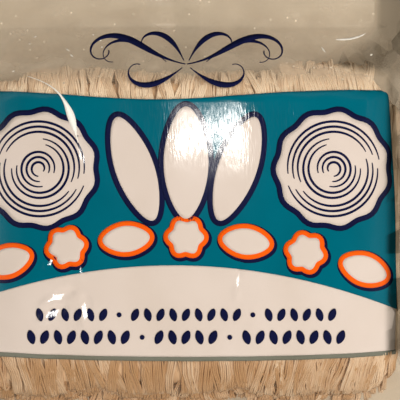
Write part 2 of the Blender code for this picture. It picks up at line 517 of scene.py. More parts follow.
@dataclass(frozen=True)
class ClearFilm:
    """Glossy clear film: a mirror that strengthens towards grazing rays, over a clear layer with some haze.

    Each point's shade is the share of haze there, or below zero the share of painted shade: the clear layer is tinted
    dark there, at the header's right and down the right side, in place of shadow and dark reflections. Fine streaks
    along the bag break up the mirror, as film that is drawn over strands has them. The mirror's share is 0.04 + 0.96 (1
    - cosine) to the fifth power, the same from both sides, because a thin film never mirrors all of the light from
      within.
    """

    name: str = "clear_film"
    tint: tuple = (0.985, 0.975, 0.96, 1.0)
    haze_colour: tuple = colour(236, 218, 192)
    facing_mirror: float = 0.04
    # painted shade: the dark tint of the clear layer where the film is slack, and below it the size of the cells that
    # vary it
    painted_shade_tint: tuple = (0.36, 0.35, 0.325, 1.0)
    cell: tuple[float, float] = (7.5 * MM, 12.5 * MM)
    speck_pitch: float = 7.0 * MM
    roughness: float = 0.085
    streak: float = 0.012 * MM
    streak_size: tuple[float, float] = (0.75 * MM, 9.0 * MM)
    hair: float = 0.011 * MM
    hair_size: tuple[float, float] = (0.60 * MM, 4.2 * MM)
    hair_turn: float = 0.14
    crinkle: float = 0.022 * MM

    def mirror(self, recipe: Recipe, bump: bpy.types.NodeSocket) -> bpy.types.NodeSocket:
        """Returns the mirror's share at each angle."""
        aslant = recipe.add("LayerWeight", {"Blend": 0.5, "Normal": bump}).outputs["Facing"]
        steep = recipe.add("Math", {0: aslant, 1: 5.0}, operation="POWER").outputs[0]
        return recipe.add("Math", {0: steep, 1: 1.0 - self.facing_mirror, 2: self.facing_mirror}, operation="MULTIPLY_ADD").outputs[0]

    def haze(self, recipe: Recipe, own: bpy.types.NodeSocket) -> bpy.types.NodeSocket:
        """Returns the haze's share: each point's own share times a cloud, and small white specks on top, which are
        painted glints.
        """
        cloud = recipe.spread(recipe.noise((1.0 / (17.0 * MM), 1.0 / (12.0 * MM), 0.0), 4.0), 0.3, 0.7, (0.45, 1.55))
        veil = recipe.add("Math", {0: own, 1: cloud}, operation="MULTIPLY", use_clamp=True).outputs[0]
        # painted glints: small white spots where the film is hazy
        places = recipe.places((1.0 / self.speck_pitch, 1.0 / self.speck_pitch, 0.0))
        dots = recipe.add("TexVoronoi", {"Vector": places, "Scale": 1.0}, voronoi_dimensions="2D")
        near = recipe.spread(dots.outputs["Distance"], 0.03, 0.09, (1.0, 0.0))
        hazy = recipe.spread(own, 0.01, 0.05, (0.0, 1.0))
        some = recipe.spread(recipe.noise((1.0 / (11.0 * MM), 1.0 / (11.0 * MM), 0.0), 1.0), 0.50, 0.62, (0.0, 0.75))
        specks = recipe.add("Math", {0: near, 1: some}, operation="MULTIPLY").outputs[0]
        specks = recipe.add("Math", {0: specks, 1: hazy}, operation="MULTIPLY").outputs[0]
        return recipe.add("Math", {0: veil, 1: specks}, operation="ADD", use_clamp=True).outputs[0]

    def painted_shade_level(self, recipe: Recipe, own: bpy.types.NodeSocket) -> bpy.types.NodeSocket:
        """Returns the painted shade on the slack film: flat cells with crisp edges, each with a level of its own."""
        coordinates = recipe.add("TexCoord").outputs["Object"]
        scale = (1.0 / self.cell[0], 1.0 / self.cell[1], 0.0)
        places = recipe.add("Mapping", {"Vector": coordinates, "Scale": scale, "Rotation": (0.0, 0.0, 0.6)}).outputs["Vector"]
        level = 0.0
        for size, share in ((1.0, 0.7), (2.3, 0.2)):
            cells = recipe.add("TexVoronoi", {"Vector": places, "Scale": size}, voronoi_dimensions="2D")
            grey = recipe.add("RGBToBW", {0: cells.outputs["Color"]}).outputs[0]
            level = recipe.add("Math", {0: grey, 1: share, 2: level}, operation="MULTIPLY_ADD").outputs[0]
        level = recipe.spread(level, 0.22, 0.68, (0.50, 1.2))
        # painted shade: as much as each point's shade lies below zero
        slack = recipe.spread(own, 0.0, -1.0, (0.0, 1.0))
        return recipe.add("Math", {0: slack, 1: level}, operation="MULTIPLY", use_clamp=True).outputs[0]

    def make(self) -> bpy.types.Material:
        """Returns the material."""
        recipe = Recipe(self.name)
        across, along = self.streak_size
        own = recipe.add("Attribute", attribute_name="shade").outputs["Fac"]
        streaks = recipe.noise((1.0 / across, 1.0 / along, 1.0 / across), 1.0)
        coordinates = recipe.add("TexCoord").outputs["Object"]
        size = (1.0 / self.hair_size[0], 1.0 / self.hair_size[1], 0.0)
        turned = recipe.add("Mapping", {"Vector": coordinates, "Scale": size, "Rotation": (0.0, 0.0, self.hair_turn)}, vector_type="TEXTURE")
        turned.inputs["Scale"].default_value = (self.hair_size[0], self.hair_size[1], 1.0)
        hairs = recipe.add("TexNoise", {"Vector": turned.outputs["Vector"], "Scale": 1.0, "Detail": 0.0}).outputs["Fac"]
        crinkle = recipe.noise((1.0 / (6.0 * MM), 1.0 / (9.0 * MM), 1.0 / (6.0 * MM)), 2.0)
        hairy = recipe.add("Bump", {"Height": hairs, "Distance": self.hair}).outputs["Normal"]
        fine = recipe.add("Bump", {"Height": streaks, "Distance": self.streak, "Normal": hairy}).outputs["Normal"]
        bump = recipe.add("Bump", {"Height": crinkle, "Distance": self.crinkle, "Normal": fine}).outputs["Normal"]
        # painted shade: the clear layer turns dark where the film is slack
        tint = recipe.blend(self.painted_shade_level(recipe, own), self.tint, self.painted_shade_tint)
        clear = recipe.add("BsdfTransparent", {"Color": tint}).outputs[0]
        haze = recipe.add("BsdfPrincipled", {"Base Color": self.haze_colour, "Roughness": 0.6}).outputs[0]
        body = recipe.add("MixShader", {0: self.haze(recipe, own), 1: clear, 2: haze}).outputs[0]
        gloss = recipe.add("BsdfGlossy", {"Roughness": self.roughness, "Normal": bump}).outputs[0]
        return recipe.finish(recipe.add("MixShader", {0: self.mirror(recipe, bump), 1: body, 2: gloss}).outputs[0])


@dataclass(frozen=True)
class Ink:
    """Ink printed under the film: an even colour with a faint cloud, and a grain too fine to count."""

    name: str
    base: tuple
    deep: tuple
    roughness: float = 0.5
    gloss: float = 0.0

    def make(self) -> bpy.types.Material:
        """Returns the material."""
        recipe = Recipe(self.name)
        cloud = recipe.noise((1.0 / (24.0 * MM), 1.0 / (34.0 * MM), 1.0 / (24.0 * MM)), 3.0)
        grain = recipe.noise((1.0 / (0.5 * MM),) * 3, 1.0)
        tone = recipe.blend(recipe.spread(cloud, 0.3, 0.75, (0.0, 1.0)), self.base, self.deep)
        bump = recipe.add("Bump", {"Height": grain, "Distance": 0.01 * MM, "Strength": 0.6}).outputs["Normal"]
        shader = recipe.add("BsdfPrincipled", {"Base Color": tone, "Roughness": self.roughness, "Normal": bump,
                                               "Specular IOR Level": self.gloss})
        return recipe.finish(shader.outputs[0])


@dataclass(frozen=True)
class DryNoodle:
    """Dried rice noodle: ivory, a little waxy, paler or browner from strand to strand, and by painted light and shade
    paler towards +x and browner towards the foot.
    """

    name: str
    pale: tuple
    brown: tuple
    roughness: float = 0.42

    def make(self) -> bpy.types.Material:
        """Returns the material."""
        recipe = Recipe(self.name)
        shade = recipe.add("Attribute", attribute_name="shade").outputs["Fac"]
        patches = recipe.noise((1.0 / (9.0 * MM), 1.0 / (16.0 * MM), 1.0 / (9.0 * MM)), 2.0)
        both = recipe.add("Math", {0: shade, 1: patches}, operation="ADD").outputs[0]
        tone = recipe.blend(recipe.spread(both, 0.75, 1.90, (0.0, 1.0)), self.pale, self.brown)
        grain = recipe.noise((1.0 / (0.35 * MM), 1.0 / (4.0 * MM), 1.0 / (2.0 * MM)), 1.0)
        bump = recipe.add("Bump", {"Height": grain, "Distance": 0.03 * MM, "Strength": 0.7}).outputs["Normal"]
        shader = recipe.add("BsdfPrincipled", {"Base Color": tone, "Roughness": self.roughness, "Normal": bump,
                                               "Specular IOR Level": 0.4})
        return recipe.finish(shader.outputs[0])


@dataclass(frozen=True)
class StudioFloor:
    """A plain pale floor with a barely visible cloud."""

    name: str = "studio_floor"
    base: tuple = colour(210, 196, 176)
    deep: tuple = colour(206, 192, 172)

    def make(self) -> bpy.types.Material:
        """Returns the material."""
        recipe = Recipe(self.name)
        cloud = recipe.noise((3.0, 3.0, 3.0), 2.0)
        tone = recipe.blend(cloud, self.base, self.deep)
        shader = recipe.add("BsdfPrincipled", {"Base Color": tone, "Roughness": 0.8, "Specular IOR Level": 0.1})
        return recipe.finish(shader.outputs[0])


# ---------------------------------------------------------------- film


@dataclass
class Film:
    """The bag's film: one closed skin, and the lapped seam down its back."""

    shape: BagShape
    finish: ClearFilm
    seam_finish: ClearFilm
    front_columns: int = 205
    row_step: float = 1.0 * MM
    seal_step: float = 0.5 * MM
    tooth: float = 0.8 * MM
    lap_columns: int = 12
    lap_thickness: float = 0.12 * MM
    lap_gap: float = 0.04 * MM

    def stations(self) -> Array:
        """Returns v from the foot's cut edge to the header's: close rows in the seals, wider ones between."""
        shape = self.shape
        foot = np.arange(-shape.foot_end, -shape.foot_seal, self.seal_step)
        body = np.arange(-shape.foot_seal, shape.header_seal, self.row_step)
        header = np.arange(shape.header_seal, shape.header_end + self.seal_step / 2.0, self.seal_step)
        return np.concatenate([foot, body, header])[:, None]

    def build_skin(self) -> None:
        """Builds the skin: rings round the bag at each station, and a ladder of quads over each cut edge.

        A ring runs over the front from +x to -x and back under the bag. The first and last rings are set in
        at every second point, which makes the toothed edge that a cutter leaves.
        """
        shape = self.shape
        v = self.stations()
        half = shape.half_width(v)
        front_x = half * arc_shares(shape.front_power, 0.28, self.front_columns)[None, :]
        back_x = half * arc_shares(shape.back_power, 0.22, self.front_columns)[None, ::-1]
        x = np.concatenate([front_x, back_x], axis=1)
        z = np.concatenate([shape.front(front_x, v), shape.back(back_x, v)], axis=1)
        # the film's haze, and below zero its painted shade
        haze = np.concatenate([shape.haze(front_x, v), np.zeros_like(back_x)], axis=1)
        teeth = self.tooth * (np.arange(self.front_columns) % 2)
        teeth = np.concatenate([teeth, teeth[::-1]])
        length = np.repeat(v, x.shape[1], axis=1)
        length[0] += teeth
        length[-1] -= teeth
        points = np.stack([x, length + shape.centre_y, z], axis=-1)
        rows, columns = x.shape
        step = np.arange(columns // 2 - 1)
        ladder = np.stack([step, step + 1, columns - 2 - step, columns - 1 - step], axis=-1)
        far = ladder[:, ::-1] + (rows - 1) * columns
        weave = Weave()
        weave.add(points.reshape(-1, 3), [grid_faces(rows, columns, wrap=True), ladder, far], haze.ravel())
        weave.build("film", self.finish.make(), "film")

    def build_lap(self) -> None:
        """Builds the lap: a flat strip just outside the back, from seal to seal, closed all round."""
        shape = self.shape
        v = self.stations()[2:-2]
        x = np.linspace(0.5, -0.5, self.lap_columns)[None, :] * shape.lap_width
        x, v = np.broadcast_arrays(x, v)
        near = shape.back(x, v) - self.lap_gap
        rings = [np.concatenate([a, a[:, ::-1]], axis=1) for a in (x, v)]
        z = np.concatenate([near, near[:, ::-1] - self.lap_thickness], axis=1)
        points = np.stack([rings[0], rings[1] + shape.centre_y, z], axis=-1)
        rows, columns = z.shape
        step = np.arange(columns // 2 - 1)
        ladder = np.stack([step, step + 1, columns - 2 - step, columns - 1 - step], axis=-1)
        far = ladder[:, ::-1] + (rows - 1) * columns
        weave = Weave()
        weave.add(points.reshape(-1, 3), [grid_faces(rows, columns, wrap=True), ladder, far], 0.0)
        weave.build("back_seam", self.seam_finish.make(), "film")

    def build(self) -> None:
        """Builds the skin and the lap."""
        self.build_skin()
        self.build_lap()


# ---------------------------------------------------------------- print


class Layer(Enum):
    """The inks' order under the film, from the deepest field to the finest line, in steps of depth."""

    FIELD = 0
    SHADOW = 1
    OUTLINE = 2
    FILL = 3
    LINE = 4
    OUTSIDE = 5


@dataclass
class Sheet:
    """A thin closed sheet of ink, laid under the film at one layer's depth."""

    shape: BagShape
    layer: Layer
    deepest: float = 0.42 * MM
    step: float = 0.075 * MM
    thickness: float = 0.02 * MM

    @property
    def depth(self) -> float:
        """Returns how far under the film the sheet's upper face lies; outside ink lies just over it."""
        outside = self.layer is Layer.OUTSIDE
        return -0.04 * MM if outside else self.deepest - self.step * self.layer.value

    def slab(self, x: Array, v: Array, top_faces: list[Array], edge: Array) -> tuple[Array, list[Array]]:
        """Closes a flat pattern into a thin slab under the film.

        Args:
            x: the pattern's places across the bag.
            v: its places along the bag.
            top_faces: its faces.
            edge: the point numbers round its edge, in the faces' direction.

        Returns:
            The slab's points and faces.
        """
        top = self.shape.lay(x, v, self.depth).reshape(-1, 3)
        bottom = self.shape.lay(x, v, self.depth + self.thickness).reshape(-1, 3)
        count = len(top)
        after = np.roll(edge, -1)
        side = np.stack([after, edge, edge + count, after + count], axis=-1)
        faces = [*top_faces, *[group[:, ::-1] + count for group in top_faces], side]
        return np.concatenate([top, bottom]), faces

    def panel(self, x: Array, v: Array) -> tuple[Array, list[Array]]:
        """Returns the slab of a grid of places."""
        rows, columns = x.shape
        number = np.arange(rows * columns).reshape(rows, columns)
        edge = np.concatenate([number[0, :-1], number[:-1, -1], number[-1, :0:-1], number[:0:-1, 0]])
        return self.slab(x, v, [grid_faces(rows, columns)], edge)

    def disc(self, x: Array, v: Array, centre: tuple[float, float], cell: float = 2.0 * MM) -> tuple[Array, list[Array]]:
        """Fills a closed outline with rings round a centre point.

        Args:
            x: the outline's places across the bag.
            v: its places along the bag.
            centre: a point inside that sees the whole outline.
            cell: the rings' distance.

        Returns:
            The slab's points and faces.
        """
        reach = float(np.hypot(x - centre[0], v - centre[1]).max())
        rings = max(2, round(reach / cell))
        count = len(x)
        share = (np.arange(rings) + 1.0)[:, None] / rings
        ring_x = centre[0] + share * (x - centre[0])[None, :]
        ring_v = centre[1] + share * (v - centre[1])[None, :]
        flat_x = np.concatenate([[centre[0]], ring_x.ravel()])
        flat_v = np.concatenate([[centre[1]], ring_v.ravel()])
        point = np.arange(count)
        fan = np.stack([np.zeros(count, int), 1 + point, 1 + (point + 1) % count], axis=-1)
        quads = grid_faces(rings, count, wrap=True)[:, ::-1] + 1
        edge = 1 + (rings - 1) * count + point
        return self.slab(flat_x, flat_v, [fan, quads], edge)


@dataclass(frozen=True)
class Outline:
    """A closed flat curve, as places across and along the bag, and a point inside it."""

    x: Array
    v: Array
    centre: tuple[float, float]

    def grown(self, width: float, shift: tuple[float, float] = (0.0, 0.0)) -> "Outline":
        """Returns the curve moved outwards by width along its normals, and then shifted."""
        step_x = np.roll(self.x, -1) - np.roll(self.x, 1)
        step_v = np.roll(self.v, -1) - np.roll(self.v, 1)
        size = np.hypot(step_x, step_v)
        x = self.x + width * step_v / size + shift[0]
        v = self.v - width * step_x / size + shift[1]
        return Outline(x, v, (self.centre[0] + shift[0], self.centre[1] + shift[1]))


def grain(centre: tuple[float, float], length: float, width: float, lean: float, points: int = 72) -> Outline:
    """Draws a plump rice grain.

    Its half width at a share s of its length is half of width times the sine of pi s, raised to 0.8.

    Args:
        centre: its middle.
        length: from tip to tip.
        width: at its widest.
        lean: radians that its upper tip leans towards +x.
        points: how many points on its outline.

    Returns:
        The outline, anticlockwise.
    """
    angle = np.linspace(0.0, math.tau, points, endpoint=False)
    across = 0.5 * width * np.cos(angle) * (1.0 - 0.16 * np.sin(angle) ** 2)
    along = 0.5 * length * np.sin(angle) * (1.0 - 0.05 * np.cos(angle) ** 2)
    x = centre[0] + across * math.cos(lean) + along * math.sin(lean)
    v = centre[1] - across * math.sin(lean) + along * math.cos(lean)
    return Outline(x, v, centre)


def rosette(centre: tuple[float, float], radius: float, lobes: int, depth: float, turn: float, points: int = 88) -> Outline:
    """Draws a round flower: radius times (1 + depth times the cosine of lobes times the angle).

    Args:
        centre: its middle.
        radius: its mean radius.
        lobes: how many petals.
        depth: how far the petals swell, as a share of the radius.
        turn: radians that it is turned by.
        points: how many points on its outline.

    Returns:
        The outline, anticlockwise.
    """
    angle = np.linspace(0.0, math.tau, points, endpoint=False)
    reach = radius * (1.0 + depth * np.cos(lobes * (angle - turn)))
    return Outline(centre[0] + reach * np.cos(angle), centre[1] + reach * np.sin(angle), centre)


@dataclass
class PrintedFront:
    """The printed front: two fields of colour that meet on an arch, and plain ornaments over them."""

    shape: BagShape
    teal: Ink
    cream: Ink
    navy: Ink
    orange: Ink
    border: Ink
    # the white ink and the specks below paint highlights on the film, in place of glints
    white: Ink
    specks: tuple[tuple[float, float, float, float, float], ...] = (
        (57.1, 72.6, 3.4, 0.36, -1.15),
        (76.7, 70.3, 1.3, 0.42, 0.6),
        (-64.2, 79.2, 1.3, 0.34, 0.3),
        (-65.8, 75.5, 1.1, 0.28, 0.0),
        (-70.5, 62.5, 1.3, 0.36, 0.2),
        (-39.6, 79.9, 0.8, 0.26, 0.0),
        (-36.2, 77.1, 1.0, 0.34, 0.0),
        (-35.3, 73.8, 0.8, 0.30, 0.0),
        (-47.4, 69.6, 2.2, 0.30, -0.75),
        (-49.4, 72.4, 2.6, 0.28, -0.6),
    )
    field_x: float = 85.8 * MM
    corner: float = 3.0 * MM
    cell: float = 1.2 * MM
    navy_line: float = 2.2 * MM
    orange_line: float = 1.9 * MM

    def top(self, x: Array) -> Array:
        """Returns the teal field's upper edge: a shallow dip."""
        return 54.7 * MM - 4.3 * MM * hill(x, -12.0 * MM, 45.0 * MM)

    def arch(self, x: Array) -> Array:
        """Returns the line between the fields: a shallow arch."""
        return -16.2 * MM - 2.2 * (x + 5.0 * MM) ** 2

    def foot(self, x: Array) -> Array:
        """Returns the cream field's lower edge."""
        return -53.0 * MM + 0.3 * x**2

    def side(self, v: Array, x: Array) -> Array:
        """Returns the fields' half width at v: a shallow bow, with the upper corner rounded off."""
        below = np.clip(self.top(x) - v, 0.0, self.corner)
        rounding = self.corner - np.sqrt(self.corner**2 - (self.corner - below) ** 2)
        return self.field_x - 0.55 * (v + 30.0 * MM) ** 2 - rounding

    def field(self, upper: Array, lower: Array, share: Array, rows: int, inset: float = 0.0) -> tuple[Array, Array]:
        """Lays a grid between an upper and a lower edge.

        Args:
            upper: a function of x for the upper edge.
            lower: a function of x for the lower edge.
            share: places across as shares of the half width.
            rows: how many rows.
            inset: how far the sides are set in.

        Returns:
            The grid's x and v.
        """
        down = np.linspace(0.0, 1.0, rows)[:, None]
        x = np.repeat(self.field_x * share[None, :], rows, axis=0)
        v = upper(x) + (lower(x) - upper(x)) * down
        for _ in range(4):
            x = (self.side(v, x) - inset) * share[None, :]
            v = upper(x) + (lower(x) - upper(x)) * down
        return x, v

    def build_fields(self) -> None:
        """Builds the teal field, the cream field and the thin border under it."""
        share = arc_shares(self.shape.front_power, 0.28, 2001)
        reach = np.linspace(-1.0, 1.0, 170)
        edge = self.field_x / self.shape.block_half_width
        inside = share[np.abs(share) <= edge]
        share = np.interp(reach, np.linspace(-1.0, 1.0, len(inside)), inside[::-1] / edge)
        share[0], share[-1] = -1.0, 1.0
        teal = Weave()
        teal.add(*Sheet(self.shape, Layer.FIELD).panel(*self.field(self.top, self.arch, share, 70)))
        teal.build("print_teal_field", self.teal.make(), "print_teal")
        cream = Weave()
        cream.add(*Sheet(self.shape, Layer.FIELD).panel(*self.field(self.arch, self.foot, share, 40, 0.5 * MM)))
        cream.build("print_cream_field", self.cream_material, "print_cream")
        strip = Weave()
        strip.add(*Sheet(self.shape, Layer.FIELD).panel(*self.field(self.foot, lambda x: self.foot(x) - 1.9 * MM, share, 4)))
        strip.build("print_border", self.border.make(), "print_teal")

    def large(self) -> list[Outline]:
        """Returns the large ornaments' outlines: a nest at either side, and a fan of three grains between."""
        shapes = [rosette((side * 59.0 * MM, 22.5 * MM), 22.4 * MM, 11, 0.028, 0.3) for side in (-1.0, 1.0)]
        shapes.append(grain((0.0, 25.0 * MM), 45.0 * MM, 18.0 * MM, 0.0))
        shapes.extend(grain((side * 20.5 * MM, 22.5 * MM), 44.0 * MM, 15.5 * MM, side * 0.34) for side in (-1.0, 1.0))
        return shapes

    def small(self) -> list[Outline]:
        """Returns the small ornaments' outlines: flowers and grains in turn, which ride on the arch."""
        shapes = []
        for index, x in enumerate(np.linspace(-72.0, 72.0, 7) * MM):
            slope = -4.4 * (x + 5.0 * MM)
            v = self.arch(x) + 11.4 * MM
            if index % 2 == 0:
                shapes.append(grain((x, v), 19.0 * MM, 10.5 * MM, math.pi / 2.0 - slope))
            else:
                shapes.append(rosette((x, v), 6.6 * MM, 6, 0.10, slope))
        return shapes

    def build_ornaments(self) -> None:
        """Builds the large and small ornaments: navy and orange outlines under cream fills."""
        navy, cream, orange = Weave(), Weave(), Weave()
        for shape in self.large():
            line = shape.grown(self.navy_line)
            navy.add(*Sheet(self.shape, Layer.OUTLINE).disc(line.x, line.v, line.centre))
            cream.add(*Sheet(self.shape, Layer.FILL).disc(shape.x, shape.v, shape.centre))
        for shape in self.small():
            shadow = shape.grown(self.orange_line + 0.8 * MM, (0.45 * MM, -0.65 * MM))
            line = shape.grown(self.orange_line)
            navy.add(*Sheet(self.shape, Layer.SHADOW).disc(shadow.x, shadow.v, shadow.centre))
            orange.add(*Sheet(self.shape, Layer.OUTLINE).disc(line.x, line.v, line.centre))
            cream.add(*Sheet(self.shape, Layer.FILL).disc(shape.x, shape.v, shape.centre))
        for side in (-1.0, 1.0):
            self.build_nest(navy, (side * 59.0 * MM, 22.5 * MM), side)
        self.build_marks(navy)
        navy.build("print_navy_shapes", self.navy.make(), "print_navy")
        cream.build("print_cream_shapes", self.cream_material, "print_cream")
        orange.build("print_orange_outlines", self.orange.make(), "print_orange")

    def build_nest(self, navy: Weave, centre: tuple[float, float], hand: float) -> None:
        """Draws a nest of noodles: arcs in groups of two or three that wind round the middle.

        Each group's arcs run side by side over part of a turn while their radius shrinks, so that the groups
        seem to pass under one another.

        Args:
            navy: the mesh that the arcs go into.
            centre: the nest's middle.
            hand: 1 or -1 for the way that it winds.
        """
        groups = ((19.2, 3, 0.2, 3.05), (19.2, 3, 3.5, 2.8), (12.1, 2, 1.7, 4.6), (7.2, 3, 4.5, 5.2))
        for radius, count, start, sweep in groups:
            for number in range(count):
                share = np.linspace(0.0, 1.0, 90)
                angle = start + 0.14 * number + sweep * share
                reach = (radius - 2.1 * number - 1.0 * share**2) * MM
                x = centre[0] + hand * reach * np.cos(angle)
                v = centre[1] + reach * np.sin(angle)
                navy.add(*self.stroke(x, v, 0.5 * MM * np.sin(math.pi * (0.04 + 0.92 * share)) ** 0.4))

    def stroke(self, x: Array, v: Array, half: Array, layer: Layer = Layer.LINE) -> tuple[Array, list[Array]]:
        """Lays a line of ink along a path.

        Args:
            x: the path's places across the bag.
            v: its places along the bag.
            half: half the line's width at each place.
            layer: the sheet that it is printed in.

        Returns:
            The slab's points and faces.
        """
        along_x, along_v = np.gradient(x), np.gradient(v)
        size = np.hypot(along_x, along_v)
        across = np.array([-1.0, 0.0, 1.0])[None, :] * np.maximum(half, 0.08 * MM)[:, None]
        wide_x = x[:, None] + across * (along_v / size)[:, None]
        wide_v = v[:, None] - across * (along_x / size)[:, None]
        return Sheet(self.shape, layer).panel(wide_x, wide_v)

    def build_marks(self, navy: Weave) -> None:
        """Adds two rows of small leaning grains in groups, with round stops between the groups.

        Args:
            navy: the mesh that they go into.
        """
        rows = ((-36.0 * MM, 5.4 * MM, 3.0 * MM, (6, 9, 6)), (-45.0 * MM, 5.9 * MM, 3.3 * MM, (8, 5, 8)))
        for v, length, width, groups in rows:
            pitch = width + 2.1 * MM
            total = (sum(groups) + 1.5 * (len(groups) - 1)) * pitch
            x = -total / 2.0
            for number, group in enumerate(groups):
                for index in range(group):
                    x += pitch
                    lean = 0.42 if (index + number) % 2 else -0.28
                    mark = grain((x - pitch / 2.0, v), length, width, lean, 24)
                    navy.add(*Sheet(self.shape, Layer.LINE).disc(mark.x, mark.v, mark.centre))
                if number < len(groups) - 1:
                    x += 1.5 * pitch
                    stop = rosette((x - 0.75 * pitch, v), 1.0 * MM, 1, 0.0, 0.0, 20)
                    navy.add(*Sheet(self.shape, Layer.LINE).disc(stop.x, stop.v, stop.centre))

    def build_flourish(self) -> None:
        """Builds a scroll ornament on the clear header, the same to left and right.

        Each scroll is a line whose bend changes evenly along it, so that it curls up at both ends.
        """
        navy = Weave()
        scrolls = (
            ((0.0, 65.5), 0.18, 60.0, (0.03, -0.34), 1.25),
            ((1.0, 67.0), 1.2, 33.0, (-0.02, -0.42), 1.0),
            ((1.5, 64.0), -0.75, 34.0, (0.02, 0.36), 1.0),
            ((8.0, 66.5), 0.75, 40.0, (-0.01, -0.30), 0.8),
        )
        for side in (-1.0, 1.0):
            for start, heading, length, bends, wide in scrolls:
                share = np.linspace(0.0, 1.0, 160)
                bend = bends[0] + (bends[1] - bends[0]) * share**2.2
                angle = heading + np.cumsum(bend) * length / len(share)
                step = length * MM / len(share)
                x = side * (start[0] * MM + np.cumsum(np.cos(angle)) * step)
                v = start[1] * MM + np.cumsum(np.sin(angle)) * step
                half = wide * MM * (0.22 + np.sin(math.pi * np.clip(share * 1.15, 0.0, 1.0)) ** 2)
                navy.add(*self.stroke(x, v, half, Layer.OUTSIDE))
        navy.build("print_flourish", bpy.data.materials[self.navy.name], "print_navy")

    def build_painted_glints(self) -> None:
        """Builds painted highlights on the film: white strokes along the fold, an arc and specks, in place of glints of
        light.
        """
        share = np.linspace(0.0, 1.0, 60)
        fade = np.sin(math.pi * np.clip(0.06 + 0.94 * share, 0.0, 1.0))
        v = np.linspace(33.0, 60.2, 100) * MM
        ends = np.sin(math.pi * (0.04 + 0.92 * np.linspace(0.0, 1.0, 100)))
        wide = (0.30 + 1.25 * hill(v, 43.0 * MM, 6.0 * MM)) * ends**0.5
        white = Weave()
        white.add(*self.stroke(self.shape.fold_line(v), v, wide * MM, Layer.OUTSIDE))
        arc_v = (77.8 + 3.0 * share**2.4) * MM
        white.add(*self.stroke((63.0 + 13.0 * share) * MM, arc_v, 0.5 * MM * fade**0.6, Layer.OUTSIDE))
        for x, y, length, half, turn in self.specks:
            along = (share - 0.5) * length * MM
            line = (x * MM + along * math.cos(turn), y * MM + along * math.sin(turn))
            white.add(*self.stroke(*line, half * MM * np.sin(math.pi * share), Layer.OUTSIDE))
        white.build("film_painted_glints", self.white.make(), "film")

    def build(self) -> None:
        """Builds all of the print, and the painted highlights."""
        self.cream_material = self.cream.make()
        self.build_fields()
        self.build_ornaments()
        self.build_flourish()
        self.build_painted_glints()


# ---------------------------------------------------------------- noodles


@dataclass(frozen=True)
class BlockShape:
    """The noodle block: a ring round its section at any depth, and how far it reaches to either end."""

    bag: BagShape
    margin: float = 1.3 * MM

    def ring(self, count: int = 2400) -> tuple[Array, Array, Array, Array]:
        """Returns even places round the section: x, z and the normal inwards, starting at +x over the top."""
        half = self.bag.block_half_width - self.margin
        top = self.bag.height - self.bag.lump_sink - self.margin - self.bag.side_height
        low = self.bag.side_height - self.margin
        front = arc_shares(self.bag.front_power, top / half, count // 2 + 1)[:-1]
        back = -arc_shares(self.bag.back_power, low / half, count // 2 + 1)[:-1]
        front_z = self.bag.side_height + top * profile(front, 1.0, self.bag.front_power)
        back_z = self.bag.side_height - low * profile(back, 1.0, self.bag.back_power)
        x, z = half * np.concatenate([front, back]), np.concatenate([front_z, back_z])
        along_x, along_z = np.roll(x, -1) - np.roll(x, 1), np.roll(z, -1) - np.roll(z, 1)
        size = np.hypot(along_x, along_z)
        return x, z, -along_z / size, along_x / size

    def header_tips(self, x: Array) -> Array:
        """Returns how far the noodles reach to the header: bell-shaped hills, and less far at the sides."""
        reach = (
            63.0
            + 2.4 * hill(x, -44.0 * MM, 13.0 * MM)
            + 4.6 * hill(x, 46.5 * MM, 5.0 * MM)
            + 5.2 * hill(x, 62.0 * MM, 4.0 * MM)
            + 4.4 * hill(x, 71.0 * MM, 4.5 * MM)
            - 1.6 * hill(x, 0.0, 12.0 * MM)
            - 4.5 * ease((-62.0 * MM - x) / (12.0 * MM))
            - 8.0 * ease((x - 75.0 * MM) / (6.0 * MM))
        )
        return (reach - 9.0 * ease((np.abs(x) - 76.0 * MM) / (14.0 * MM))) * MM

    def foot_tips(self, x: Array, z: Array) -> Array:
        """Returns how far the noodles reach to the foot, where they lie against the film: a rounded end."""
        high = np.clip((z - 15.0 * MM) / (30.0 * MM), -0.4, 1.0)
        uneven = 1.2 * np.cos(x / (9.0 * MM) + 1.0) + 0.8 * np.sin(x / (5.2 * MM))
        return (75.0 + uneven - 6.0 * high**2 - 9.0 * ease((np.abs(x) - 74.0 * MM) / (15.0 * MM))) * MM

    def seat(self, x: Array, z: Array, v: Array) -> tuple[Array, Array]:
        """Fits places in the middle section to the section at v.

        Above the side line the height shrinks as the front film falls, below it as the back rises, and the
        width draws in a little at the ends. Then what is still too near the film is pressed in softly.

        Args:
            x: places across the bag.
            z: their heights in the middle section.
            v: places along the bag.

        Returns:
            The new x and z.
        """
        bag = self.bag
        side = bag.side_height
        crest = bag.seal_height + (bag.height - bag.seal_height) * fall(bag.share(v, bag.shoulder))
        trough = bag.seal_height * (1.0 - fall(bag.share(v, bag.foot_shoulder)))
        up = np.maximum((crest - self.margin - side) / (bag.height - self.margin - side), -0.3)
        down = (side - trough - self.margin) / (side - self.margin)
        z = side + (z - side) * np.where(z > side, up, down)
        x = x * (1.0 - 0.035 * ease((np.abs(v) - 44.0 * MM) / (26.0 * MM)))
        reach = bag.half_width(np.minimum(np.abs(v), bag.shoulder) * np.sign(v)) - self.margin
        x = np.clip(x, -reach, reach)
        high, low = bag.front(x, v) - self.margin, bag.back(x, v) + self.margin
        soft = 0.5 * MM
        z = high - soft * np.logaddexp(0.0, (high - z) / soft)
        z = low + soft * np.logaddexp(0.0, (z - low) / soft)
        return x, z


def number_from(seed: Array, which: float) -> Array:
    """Returns an even random number between 0 and 1 that follows from each seed, another for each which."""
    return np.modf(np.abs(seed) * (53.7 + 31.9 * which))[0]


